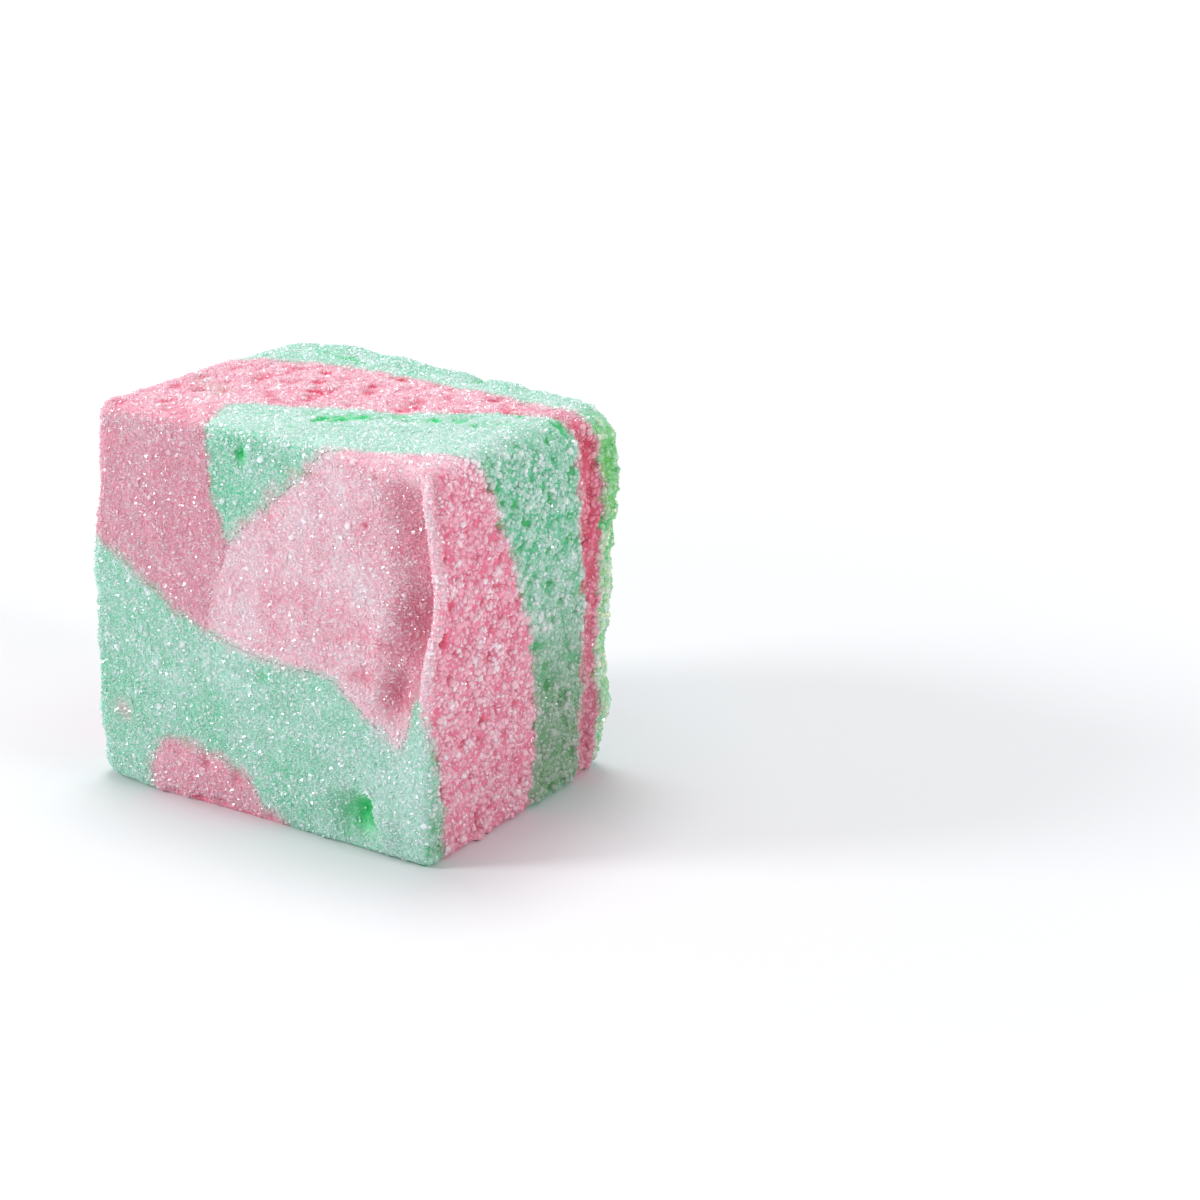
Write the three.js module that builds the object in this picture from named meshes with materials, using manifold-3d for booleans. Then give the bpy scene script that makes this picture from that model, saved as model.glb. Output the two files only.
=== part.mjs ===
// A cube of two-coloured marshmallow, sliced from a rope in which pink and green masses lie side by side.
// Each colour mass is a layer that runs through the block. X runs along the front face, Y from the
// front to the back and Z up; the origin is the middle of the underside. Millimetres throughout.
import * as THREE from "three";
import { mergeVertices } from "three/addons/utils/BufferGeometryUtils.js";
import Module from "manifold-3d";

// The block.
const width = 34.8;
const depth = 29;
const height = 34;
const frontY = -depth / 2;
const rightX = width / 2;

// Rounding of its edges: crisp at the front, slumped along the upper edges towards the back.
const frontRadius = 0.8;
const backRadius = 1.6;
const upperRightRadius = 1.7; // added along the upper right edge
const upperLeftRadius = 0.7; // added along the upper left edge at the front
const farCornerRadius = 2.6; // and where it meets the back
const footRadius = 0.9;

// Points over the outer faces.
const skinStep = 2.35;
const edgeCrowding = 0.32; // share by which those points crowd towards the edges

// Borders between the layers.
const clearance = 0.3; // gap between neighbouring layers
const borderReach = 3; // how far a border runs on past the block
const coarseStep = 2.6; // spacing of the points over a border
const fineStep = 1.5; // and over one with a narrow spike or a steep wall
const rearPinkSlant = 0.5; // how far the rear pink border slants to the left for each step back
const patchSlope = 0.035; // how much lower the pink patch gets for each step to its right

const pink = { color: 0xeba3b5, roughness: 0.75, metalness: 0 };
const green = { color: 0xa6dcc0, roughness: 0.75, metalness: 0 };

const wasm = await Module();
wasm.setup();

const { lerp, smoothstep } = THREE.MathUtils;

// A smooth hump, 1 at the middle and under 0.02 two reaches away.
function hump(offset, reach) {
  return Math.exp(-((offset / reach) ** 2));
}

// Grows in step with t, then levels off at the cap.
function levelOff(t, cap) {
  return t / (1 + Math.abs(t / cap) ** 5) ** 0.2;
}

// --- the block's uneven outside ---

function edgeRadius(x, y, z) {
  const upper = smoothstep(z, 23, height);
  const upperRight = upperRightRadius * upper * smoothstep(x, 5, rightX);
  const leftEdge = lerp(upperLeftRadius, farCornerRadius, smoothstep(y, 0, -frontY));
  const upperLeft = leftEdge * upper * smoothstep(-x, 8, rightX);
  const round = lerp(frontRadius, backRadius, smoothstep(y, frontY, -frontY)) + upperRight + upperLeft;
  const lowBackCorner = 1.3 * smoothstep(x, 6, rightX) * smoothstep(y, 4, -frontY) * hump(z - 1.5, 5);
  const lowLeftCorner = 1.2 * smoothstep(-x, 10, rightX) * smoothstep(-y, 6, -frontY) * hump(z - 1, 4);
  return lerp(footRadius, round, smoothstep(z, 0, height / 4)) + lowBackCorner + lowLeftCorner;
}

// How far the right face stands out: a wavy ridge down the front corner, a shallow waist behind it
// and lumps on the back layer.
function rightSwell(y, z) {
  const waist = -0.3 * smoothstep(-y, -8, 10);
  const ridge = (0.4 * hump(z - 24, 4) - 0.15 * hump(z - 14, 4)) * hump(y - frontY - 0.8, 1.8);
  const shoulder = 0.55 * smoothstep(z, 23.2, 24) * smoothstep(-z, -33, -29);
  const lumps = shoulder + 0.75 * hump(z - 6.8, 1.5) - 0.25 * hump(z - 14, 5) - 0.3 * hump(z - 1.5, 2);
  return waist + ridge + lumps * smoothstep(y, 9, 13);
}

function leftSwell(y, z) {
  return (0.4 * hump(z - 20, 3) - 0.15 * hump(z - 11, 4)) * hump(y - frontY, 7);
}

function frontSwell(x, z) {
  const dents = 0.6 * hump(x - 14.8, 2.4) * (hump(z - 30, 3) + hump(z - 21.5, 3.5));
  const hollowFoot = 0.7 * hump(x + 2, 6.5) * hump(z, 1.8);
  return 0.2 * hump(x + 2, 9) * hump(z - 12, 8) - dents - hollowFoot;
}

function backSwell(x, z) {
  return 0.2 * Math.sin(x * 0.31 + 1) * Math.cos(z * 0.27);
}

function topSwell(x, y) {
  const backEdge = lerp(0.3, -0.3, smoothstep(x, -14, 6)) + 0.08 * Math.sin(x * 1.1);
  return backEdge * smoothstep(y, 5, 13) - 0.3 * hump(x - 4, 6) * hump(y + 1, 2.5);
}

// Moves a point of the plain box's surface to the rounded, uneven block's.
function slump(point) {
  const half = new THREE.Vector3(width / 2, depth / 2, height / 2);
  const centre = new THREE.Vector3(0, 0, height / 2);
  const radius = edgeRadius(point.x, point.y, point.z);
  const local = point.clone().sub(centre);
  const inner = half.clone().subScalar(radius);
  const core = local.clone().clamp(inner.clone().negate(), inner);
  const outward = local.sub(core).normalize();
  const placed = core.addScaledVector(outward, radius).add(centre);

  const { x, y, z } = placed;
  const aboveFoot = smoothstep(z, 0, 2); // the underside stays flat
  placed.x += Math.max(outward.x, 0) * rightSwell(y, z) * aboveFoot;
  placed.x += Math.min(outward.x, 0) * leftSwell(y, z) * aboveFoot;
  placed.y += Math.min(outward.y, 0) * frontSwell(x, z);
  placed.y += Math.max(outward.y, 0) * backSwell(x, z) * aboveFoot;
  placed.z += Math.max(outward.z, 0) * topSwell(x, y);
  return placed;
}

// Spreads points from -1 to 1 so that they crowd towards both ends.
function crowd(t) {
  return lerp(t, Math.sin((t * Math.PI) / 2), edgeCrowding);
}

function makeBlock() {
  const cells = [width, depth, height].map((side) => Math.round(side / skinStep));
  const geometry = new THREE.BoxGeometry(2, 2, 2, ...cells);
  const place = geometry.getAttribute("position");
  const point = new THREE.Vector3();
  for (let i = 0; i < place.count; i++) {
    const x = crowd(place.getX(i)) * rightX;
    const y = crowd(place.getY(i)) * -frontY;
    const z = (1 + crowd(place.getZ(i))) * (height / 2);
    place.setXYZ(i, ...slump(point.set(x, y, z)));
  }
  return solidOf(geometry);
}

// --- the borders between the layers, each as its depth y over a point (x, z) ---

// Height on the front face of the lower green mass, with a narrow spike beside the front corner.
function frontGreenTop(x) {
  const wave = Math.sin((x - 0.5) * 0.233) + 1.1 * hump(x - 7.2, 3.4);
  const spike = 6.2 * hump(x - 15.7, x < 15.7 ? 0.95 : 1.5);
  return 14.9 - 0.37 * x + wave + spike;
}

// The lower green mass in front, the pink lobe behind it. The lobe keeps clear of the left side,
// where the rear pink backs the green.
function lobeBorder(x, z) {
  const thickness = lerp(8, 2.2, smoothstep(x, -4, rightX));
  const clearOfLobe = 6 * smoothstep(-x, 5, 10);
  return frontY + thickness * Math.tanh((frontGreenTop(x) + clearOfLobe - z) / 3.5);
}

// The pink lobe in front, the middle green layer behind it. The border meets the front face along a
// slope from the top edge down to the left, below which it stays buried.
function middleBorder(x, z) {
  const belowSlope = 0.7 * (x - 6.6) - 0.72 * (z - height);
  const buried = lerp(-20, 12, smoothstep(-x, 5, 8) * smoothstep(height - z, 8, 11));
  return frontY + levelOff(0.8 * Math.max(belowSlope, buried), 17.2) - 1.2 * hump(z, 4);
}

// The middle green layer in front, the rear pink layer behind it. To the left the pink comes right
// forward to the front face, past a steep wall.
function rearPinkBorder(along, z) {
  const wall = -5.7 + 2 * hump(z - 23.6, 4);
  const forward = Math.min(wall - along, z - frontGreenTop(along));
  const layer = Math.max(7.9 + 0.48 * along, 5.2);
  const lean = 1.5 * smoothstep(height - z, 3, 20) * smoothstep(along, 0, 25);
  return frontY + lerp(layer + lean, -6, smoothstep(forward, -1.2, 1.2));
}

// The rear pink layer in front, the back green layer behind it. The pink breaks through in a wavy
// streak low down on the back face.
function backGreenBorder(x, z) {
  const layer = 23 - 5 * Math.exp(-(x + 15.2) / 5);
  const lean = 3 * (1 - Math.exp(-(height - z) / 5));
  const alongStreak = 0.87 * (x + 4) - 0.5 * (z - 10);
  const acrossStreak = 0.5 * (x + 4) + 0.87 * (z - 10) + 1.4 * Math.sin(0.25 * alongStreak);
  return frontY + layer + lean + 8 * hump(acrossStreak, 3.8) * hump(alongStreak, 15);
}

// The solid in front of a border, moved by shift along Y. A slanted border is laid out in slanted
// coordinates, where "along" is x + slant * (y - frontY), and sheared back.
function inFrontOf(border, shift, step, slant = 0) {
  const reachX = rightX + borderReach + slant * depth;
  const acrossCells = Math.round((2 * reachX) / step);
  const upCells = Math.round((height + 2 * borderReach) / step);
  const geometry = new THREE.BoxGeometry(2, 2, 2, acrossCells, 1, upCells);
  const place = geometry.getAttribute("position");
  for (let i = 0; i < place.count; i++) {
    const along = place.getX(i) * reachX;
    const z = height / 2 + place.getZ(i) * (height / 2 + borderReach);
    const y = place.getY(i) < 0 ? frontY - 4 * borderReach : border(along, z) + shift;
    place.setXYZ(i, along - slant * (y - frontY), y, z);
  }
  return solidOf(geometry);
}

// The pink patch low on the front: a blunt lump with its right flank drawn out along the foot.
function makePatch(grown) {
  const reach = new THREE.Vector3(5.7, 4.5, 5.2);
  const geometry = new THREE.SphereGeometry(1, 24, 16);
  const place = geometry.getAttribute("position");
  const blunt = (t) => Math.sign(t) * Math.abs(t) ** 0.6;
  for (let i = 0; i < place.count; i++) {
    const x = blunt(place.getX(i)) * (reach.x + grown);
    const y = blunt(place.getY(i)) * (reach.y + grown);
    const z = blunt(place.getZ(i)) * (reach.z + grown) * (1 - patchSlope * x);
    const drawnOut = 0.5 * Math.max(x, 0) * hump(z, 1.1);
    place.setXYZ(i, x + drawnOut - 5.6, y + frontY, z);
  }
  return solidOf(geometry);
}

// --- solids and meshes ---

function solidOf(geometry) {
  geometry.deleteAttribute("normal");
  geometry.deleteAttribute("uv");
  const merged = mergeVertices(geometry, 1e-4);
  const vertProperties = new Float32Array(merged.getAttribute("position").array);
  const triVerts = new Uint32Array(merged.index.array);
  return new wasm.Manifold(new wasm.Mesh({ numProp: 3, vertProperties, triVerts }));
}

// The largest body of a solid: a border that grazes the block can leave a crumb beside it.
function mainBody(solid) {
  return solid.decompose().reduce((a, b) => (b.volume() > a.volume() ? b : a));
}

function layerMesh(name, solid, look) {
  const { vertProperties, triVerts } = mainBody(solid).getMesh();
  const geometry = new THREE.BufferGeometry();
  geometry.setAttribute("position", new THREE.BufferAttribute(vertProperties, 3));
  geometry.setIndex(new THREE.BufferAttribute(triVerts, 1));
  geometry.computeVertexNormals();
  const mesh = new THREE.Mesh(geometry, new THREE.MeshStandardMaterial(look));
  mesh.name = name;
  return mesh;
}

// Splits a solid at a border into what lies in front of it and what lies behind, a clearance apart.
function splitAt(border, solid, step, slant) {
  const front = solid.intersect(inFrontOf(border, -clearance / 2, step, slant));
  const behind = solid.subtract(inFrontOf(border, clearance / 2, step, slant));
  return [front, behind];
}

const [allButBack, backGreen] = splitAt(backGreenBorder, makeBlock(), coarseStep);
const [frontHalf, rearPink] = splitAt(rearPinkBorder, allButBack, fineStep, rearPinkSlant);
const [lobeAndFoot, middleGreen] = splitAt(middleBorder, frontHalf, coarseStep);
const [frontGreen, pinkLobe] = splitAt(lobeBorder, lobeAndFoot, fineStep);

const marshmallow = new THREE.Group();
marshmallow.add(
  layerMesh("back_green_layer", backGreen, green),
  layerMesh("rear_pink_layer", rearPink, pink),
  layerMesh("middle_green_layer", middleGreen, green),
  layerMesh("front_pink_lobe", pinkLobe, pink),
  layerMesh("front_green_layer", frontGreen.subtract(makePatch(clearance)), green),
  layerMesh("low_pink_patch", frontGreen.intersect(makePatch(0)), pink),
);

export default marshmallow;
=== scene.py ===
import math

import bmesh
import bpy
import numpy as np
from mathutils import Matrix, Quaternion, Vector, noise


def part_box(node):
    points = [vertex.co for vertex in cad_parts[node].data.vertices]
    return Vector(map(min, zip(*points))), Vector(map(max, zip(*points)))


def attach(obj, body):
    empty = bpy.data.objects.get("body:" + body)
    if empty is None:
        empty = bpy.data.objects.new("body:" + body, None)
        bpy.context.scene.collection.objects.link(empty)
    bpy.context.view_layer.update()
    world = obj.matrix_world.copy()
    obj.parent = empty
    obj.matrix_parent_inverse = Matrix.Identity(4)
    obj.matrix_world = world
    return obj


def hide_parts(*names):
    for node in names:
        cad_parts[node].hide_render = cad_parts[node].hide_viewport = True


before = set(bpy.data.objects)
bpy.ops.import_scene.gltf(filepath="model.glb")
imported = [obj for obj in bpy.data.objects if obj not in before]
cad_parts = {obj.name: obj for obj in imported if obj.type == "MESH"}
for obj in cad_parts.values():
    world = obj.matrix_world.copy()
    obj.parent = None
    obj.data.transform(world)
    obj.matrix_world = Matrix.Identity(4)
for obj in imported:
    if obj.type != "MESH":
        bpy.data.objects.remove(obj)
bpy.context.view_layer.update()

mm = 0.001


def hump(offset, reach):        # 1 at the middle, under 0.02 two reaches away
    return np.exp(-((offset / reach) ** 2))


def ramp(value, low, high):     # smooth step from 0 at low to 1 at high
    t = np.clip((value - low) / (high - low), 0, 1)
    return t * t * (3 - 2 * t)


def mix(a, b, t):
    return a + (b - a) * t


def noiseAt(points, size, seed):    # about -1 to 1, with lumps of that size in mm
    shift = np.array([17.3, -9.1, 5.7]) * seed
    return np.array([noise.noise(p) for p in (points / size + shift).tolist()])


def noiseVectors(points, sizes, seed):      # a noise of its own size along each axis
    return np.stack([noiseAt(points, size, seed + axis) for axis, size in enumerate(sizes)], 1)


def meshObject(name, points, faces):    # points in mm
    mesh = bpy.data.meshes.new(name)
    mesh.from_pydata((points * mm).tolist(), [], faces.tolist())
    mesh.update()
    made = bpy.data.objects.new(name, mesh)
    bpy.context.scene.collection.objects.link(made)
    return made


def pointsOf(mesh):             # an N x 3 array in mm
    co = np.empty(len(mesh.vertices) * 3, np.float32)
    mesh.vertices.foreach_get("co", co)
    return co.reshape(-1, 3).astype(float) / mm


def setAttribute(mesh, name, values):
    attribute = mesh.attributes.get(name) or mesh.attributes.new(name, "FLOAT", "POINT")
    attribute.data.foreach_set("value", np.asarray(values, np.float32))


def getAttribute(mesh, name):
    values = np.empty(len(mesh.vertices), np.float32)
    mesh.attributes[name].data.foreach_get("value", values)
    return values.astype(float)


block = {
    "width": 34.8, "depth": 29.0, "height": 34.0,
    "frontRadius": 0.8, "backRadius": 1.6, "footRadius": 0.9,   # rounding of the edges
    "upperRightRadius": 1.7, "upperLeftRadius": 0.7, "farCornerRadius": 2.6,    # added as upper edges slump
    "lowBackRadius": 1.3, "lowLeftRadius": 1.2,                 # added at two of the low corners
    "skinStep": 0.22,                                           # spacing of the points over the skin
}
half = np.array([block["width"], block["depth"], block["height"]]) / 2
rightX, backY, topZ = half[0], half[1], block["height"]
frontY = -backY


def edgeRadius(x, y, z):
    upper = ramp(z, 23, topZ)
    upperRight = block["upperRightRadius"] * upper * ramp(x, 5, rightX)
    leftEdge = mix(block["upperLeftRadius"], block["farCornerRadius"], ramp(y, 0, backY))
    upperLeft = upper * ramp(-x, 8, rightX) * leftEdge
    along = mix(block["frontRadius"], block["backRadius"], ramp(y, frontY, backY)) + upperRight + upperLeft
    lowBackCorner = block["lowBackRadius"] * ramp(x, 6, rightX) * ramp(y, 4, backY) * hump(z - 1.5, 5)
    lowLeftCorner = block["lowLeftRadius"] * ramp(-x, 10, rightX) * ramp(-y, 6, backY) * hump(z - 1, 4)
    return mix(block["footRadius"], along, ramp(z, 0, topZ / 4)) + lowBackCorner + lowLeftCorner


def rightSwell(y, z):
    waist = -0.3 * ramp(-y, -8, 10)
    ridge = (0.4 * hump(z - 24, 4) - 0.15 * hump(z - 14, 4)) * hump(y - frontY - 0.8, 1.8)
    shoulder = 0.55 * ramp(z, 23.2, 24.0) * ramp(-z, -33, -29)
    lumps = shoulder + 0.75 * hump(z - 6.8, 1.5) - 0.25 * hump(z - 14, 5) - 0.3 * hump(z - 1.5, 2)
    return waist + ridge + lumps * ramp(y, 9, 13)


def leftSwell(y, z):
    return (0.4 * hump(z - 20, 3) - 0.15 * hump(z - 11, 4)) * hump(y - frontY, 7)


def frontSwell(x, z):
    hollowFoot = 0.7 * hump(x + 2, 6.5) * hump(z, 1.8)
    return 0.2 * hump(x + 2, 9) * hump(z - 12, 8) - hollowFoot


def backSwell(x, z):
    return 0.2 * np.sin(x * 0.31 + 1) * np.cos(z * 0.27)


def topSwell(x, y):
    backEdge = mix(0.3, -0.3, ramp(x, -14, 6)) + 0.08 * np.sin(x * 1.1)
    return backEdge * ramp(y, 5, 13) - 0.3 * hump(x - 4, 6) * hump(y + 1, 2.5)


def slump(cube):                # places points of a -1 to 1 cube on the block, with their outward directions
    centre = np.array([0, 0, topZ / 2])
    point = cube * half + centre
    radius = edgeRadius(*point.T)[:, None]
    core = np.clip(point - centre, radius - half, half - radius)
    outward = point - centre - core
    outward /= np.linalg.norm(outward, axis=1)[:, None]
    placed = core + outward * radius + centre
    x, y, z = placed.copy().T
    aboveFoot = ramp(z, 0, 2)   # the underside stays flat
    placed[:, 0] += np.maximum(outward[:, 0], 0) * rightSwell(y, z) * aboveFoot
    placed[:, 0] += np.minimum(outward[:, 0], 0) * leftSwell(y, z) * aboveFoot
    placed[:, 1] += np.minimum(outward[:, 1], 0) * frontSwell(x, z)
    placed[:, 1] += np.maximum(outward[:, 1], 0) * backSwell(x, z) * aboveFoot
    placed[:, 2] += np.maximum(outward[:, 2], 0) * topSwell(x, y)
    return placed, outward


def cubeSkin(cells):            # points from -1 to 1 over a cube's skin, and its quads facing out
    onSkin = np.ones(cells + 1, bool)
    onSkin[1:-1, 1:-1, 1:-1] = False
    index = np.full(cells + 1, -1)
    index[onSkin] = np.arange(onSkin.sum())
    quads = []
    for axis in range(3):
        for end in (0, -1):
            sheet = index.take(end, axis)
            corners = [sheet[:-1, :-1], sheet[1:, :-1], sheet[1:, 1:], sheet[:-1, 1:]]
            if (end == 0) != (axis == 1):
                corners.reverse()
            quads.append(np.stack([c.ravel() for c in corners], 1))
    return np.argwhere(onSkin) / cells * 2 - 1, np.concatenate(quads)


def frontGreenTop(x):           # height of the lower green mass on the front face, with its narrow spike
    wave = np.sin((x - 0.5) * 0.233) + 1.1 * hump(x - 7.2, 3.4)
    spike = 6.2 * hump(x - 15.7, np.where(x < 15.7, 0.95, 1.5))
    return 14.9 - 0.37 * x + wave + spike


def lobeBorder(x, z):           # lower green | pink lobe
    thickness = mix(8, 2.2, ramp(x, -4, rightX))
    clearOfLobe = 6 * ramp(-x, 5, 10)
    return frontY + thickness * np.tanh((frontGreenTop(x) + clearOfLobe - z) / 3.5)


def middleBorder(x, z):         # pink lobe | middle green
    belowSlope = 0.7 * (x - 6.6) - 0.72 * (z - topZ)
    buried = mix(-20, 12, ramp(-x, 5, 8) * ramp(topZ - z, 8, 11))
    rise = 0.8 * np.maximum(belowSlope, buried)
    levelled = rise / (1 + np.abs(rise / 17.2) ** 5) ** 0.2
    return frontY + levelled - 1.2 * hump(z, 4)


def rearPinkBorder(along, z):   # middle green | rear pink, laid out along x + rearPinkSlant * (y - frontY)
    wall = -5.7 + 2 * hump(z - 23.6, 4)
    forward = np.minimum(wall - along, z - frontGreenTop(along))
    layer = np.maximum(7.9 + 0.48 * along, 5.2)
    lean = 1.5 * ramp(topZ - z, 3, 20) * ramp(along, 0, 25)
    return frontY + mix(layer + lean, -6, ramp(forward, -1.2, 1.2))


def backGreenBorder(x, z):      # rear pink | back green, with the pink streak low on the back face
    layer = 23 - 5 * np.exp(-(x + 15.2) / 5)
    lean = 3 * (1 - np.exp(-(topZ - z) / 5))
    alongStreak = 0.87 * (x + 4) - 0.5 * (z - 10)
    acrossStreak = 0.5 * (x + 4) + 0.87 * (z - 10) + 1.4 * np.sin(0.25 * alongStreak)
    return frontY + layer + lean + 8 * hump(acrossStreak, 3.8) * hump(alongStreak, 15)


rearPinkSlant = 0.5
patch = {                       # the pink patch low in front, drawn out to the right along the floor
    "reach": np.array([5.7, 4.5, 5.2]), "centreX": -5.6, "slope": 0.035, "bluntness": 0.6,
    "drawnOut": 0.5, "drawnOutHeight": 1.1,
}


def blunt(t, power):
    return np.sign(t) * np.abs(t) ** power


def inPatch(x, y, z):
    drawnOut = 1 + patch["drawnOut"] * hump(z, patch["drawnOutHeight"]) * (x > patch["centreX"])
    lopsided = 1 - patch["slope"] * (x - patch["centreX"]) / drawnOut
    offset = np.stack([(x - patch["centreX"]) / drawnOut, y - frontY, z / lopsided], -1) / patch["reach"]
    return (np.abs(offset) ** (2 / patch["bluntness"])).sum(-1) < 1


# 0 back green, 1 rear pink, 2 middle green, 3 pink lobe, 4 low pink patch, 5 front green
def layerAt(p):
    x, y, z = p.T
    inFrontOfLobe = np.where(inPatch(x, y, z), 4, 5)
    inFrontOfMiddle = np.where(y > lobeBorder(x, z), 3, inFrontOfLobe)
    inFrontOfRear = np.where(y > middleBorder(x, z), 2, inFrontOfMiddle)
    inFrontOfBack = np.where(y > rearPinkBorder(x + rearPinkSlant * (y - frontY), z), 1, inFrontOfRear)
    return np.where(y > backGreenBorder(x, z), 0, inFrontOfBack)


# The borders wander a little at the scale of the sugar grains, and are a fraction of a millimetre soft.
blending = {
    "wander": 0.48, "wanderSizes": (1.1, 1.3, 1.2),     # in mm, how far they wander and over what lengths
    "fineShare": 0.7, "fineSize": 0.42,                 # and a finer wander on top of that
    "softness": 0.32, "samples": 16, "seed": 4,
}


def softLayers(points):         # each layer's share at each point, six columns that add up to 1
    wander = noiseVectors(points, blending["wanderSizes"], blending["seed"])
    wander += blending["fineShare"] * noiseVectors(points, [blending["fineSize"]] * 3, blending["seed"] + 5)
    moved = points + wander * blending["wander"]
    random = np.random.default_rng(blending["seed"])
    shares = np.zeros((len(points), 6))
    for _ in range(blending["samples"]):
        layer = layerAt(moved + random.normal(0, blending["softness"], 3))
        shares += layer[:, None] == np.arange(6)
    return shares / blending["samples"]


# How thickly the sugar lies on each layer (in the order of layerAt) and each face: 1 covers it, and 0 or
# less leaves it bare.
dusting = {
    "front": (0.3, 0.28, 0.35, 0.63, 0.3, 0.39), "top": (0.37, 0.3, 0.5, 0.45, 0.3, 0.46),
    "right": (0.0, -0.3, 0.06, 0.01, 0.1, 0.2), "left": (0.35, 0.3, 0.4, 0.4, 0.3, 0.4),
    "back": (0.35, 0.3, 0.4, 0.4, 0.3, 0.4), "under": (0.3, 0.25, 0.3, 0.3, 0.2, 0.3),
}
# And how dull and dusky the colour is: on the front, left and back a duller tone of the layers themselves,
# and on the right face painted shade, which makeSkin deepens towards the floor.
duskinessAndShade = {
    "front": (0, 0.26, 0, 0.01, 0.12, 0), "top": (0, 0, 0, 0, 0, 0), "right": (0, 0.14, 0.22, 0.05, 0, 0.1),
    "left": (0, 0.15, 0, 0, 0, 0), "back": (0, 0.1, 0, 0, 0, 0), "under": (0, 0, 0, 0, 0, 0),
}


def overFaces(table, face, shares):     # a table's values at each point, by the face and the layers it is on
    return sum(share * (shares @ np.array(table[name])) for name, share in face.items())


relief = {
    "swell": 0.2, "dimples": 0.1,                           # amplitudes in mm of the waves of 6 and 2.6 mm
    "lumpsFine": 0.07, "lumpsCoarse": 0.38,                 # and on fine and coarse faces, of 1.5 mm
    "grainFine": 0.05, "grainCoarse": 0.10,                 # and of 0.55 mm
    "sideCoarseness": 0.35,                                 # of the left and back faces: the right has 1
    "raggedness": 0.35, "raggedSize": 0.9,                  # how far the outlines of pits stray
    "tearsPink": 0.6, "tearsGreen": 0.7,                    # depths in mm of the tears of the top
    "grooveLow": 0.3, "grooveHigh": 0.8, "stripe": 0.2,     # of the pink stripe's groove, and of the stripe
    "pores": 0.7, "poresUpperRight": 1.15,                  # and of the pores of the coarse face
}
# How strongly the colour deepens in these; in the valley before the lip this is painted shade.
deepHue = {"topHoles": 2.0, "funnel": 0.34, "valley": 0.14, "stripe": 0.14}

# Pits on the front face: x, z, radius across, radius up, depth.
frontPits = [
    (-2.3, 31.9, 0.5, 0.8, 0.6), (-9.5, 12.2, 0.5, 0.4, 0.2), (0.5, 13.2, 0.5, 0.35, 0.2),
    (10.3, 28.5, 0.22, 0.2, 0.4), (11.2, 32.4, 0.3, 0.2, 0.35), (6.5, 26.6, 0.2, 0.2, 0.25),
    (10.2, 15.3, 1.1, 0.7, 0.25), (12.4, 18.4, 0.8, 0.5, 0.15), (8.4, 18.4, 0.5, 0.4, 0.15),
    (3.8, 31.6, 1.6, 0.5, 0.2), (-5.6, 4.2, 0.5, 0.5, 0.3), (-2.2, 3.6, 0.5, 0.7, 0.25),
]
# Pits on the top: x, y, radius across, radius deep, depth.
topPits = [
    (0.9, -7.7, 0.55, 1.2, 0.4), (2.3, -6.7, 0.5, 1.3, 0.4), (1.6, -5.2, 0.5, 0.8, 0.3),
    (3.4, -4.8, 0.5, 1.0, 0.3),
    (-1.3, -11.6, 0.35, 0.2, 0.3), (0.2, -10.9, 0.45, 0.2, 0.35), (5.2, -2.8, 0.7, 0.8, 0.3),
    (8.2, -1.5, 0.7, 0.7, 0.35), (10.2, -0.7, 0.4, 0.6, 0.4), (11.9, -0.5, 0.5, 0.7, 0.4),
    (-5.9, 2.0, 0.5, 0.7, 0.4), (-4.4, -0.6, 0.5, 0.6, 0.4), (-7.7, 5.6, 0.4, 0.5, 0.35),
    (-1.0, 7.3, 0.6, 0.5, 0.45),
    (3.8, 0.4, 0.6, 0.7, 0.4), (-1.8, 3.7, 0.4, 0.5, 0.3), (9.0, 6.7, 0.5, 0.5, 0.35),
    (12.8, 3.7, 0.5, 0.6, 0.3), (16.3, 5.2, 0.8, 0.4, 0.4), (-11.2, 9.9, 0.7, 0.3, 0.4),
    (-8.2, 9.9, 0.8, 0.3, 0.45),
]
# Notches in the back upper edge: x, half width, depth.
backNotches = [(3.7, 0.5, 0.7), (8.3, 0.6, 0.35), (-14.6, 0.5, 0.2)]

# The dimple at the front foot, and the wavy lip down the near corner, with a valley before it and a
# crevice behind it.
funnel = {"x": 11.0, "z": 3.4, "reach": 4.6, "height": 1.8, "depth": 1.6}
lip = {
    "crest": 16.7, "bulge": 1.0, "frontWidth": 0.6, "rightWidth": 0.4, "height": 0.7,
    "valley": 1.25, "valleyReach": 5.5, "crevice": 0.9,
}


def facing(outward):            # how far each point faces front, right, top, left, back and down
    x, y, z = outward.T
    return {
        "front": np.maximum(-y, 0) ** 2, "right": np.maximum(x, 0) ** 2, "top": np.maximum(z, 0) ** 2,
        "left": np.maximum(-x, 0) ** 2, "back": np.maximum(y, 0) ** 2, "under": np.maximum(-z, 0) ** 2,
    }


def wavesOf(points, coarse):    # the uneven skin of cut foam
    height = relief["swell"] * noiseAt(points, 6, 1) + relief["dimples"] * noiseAt(points, 2.6, 13)
    height += mix(relief["lumpsFine"], relief["lumpsCoarse"], coarse) * noiseAt(points, 1.5, 2)
    return height + mix(relief["grainFine"], relief["grainCoarse"], coarse) * noiseAt(points, 0.55, 3)


def funnelOf(x, z):             # gently down from the lower left to a steep wall at the upper right
    slope = ramp(x + 0.4 * (z - funnel["z"]), funnel["x"] - funnel["reach"], funnel["x"])
    wall = ramp(-x - 0.5 * (z - funnel["z"]), -funnel["x"] - 1.0, -funnel["x"])
    return funnel["depth"] * slope * wall * hump(z - funnel["z"] + 0.3 * (funnel["x"] - x), funnel["height"])


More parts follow.
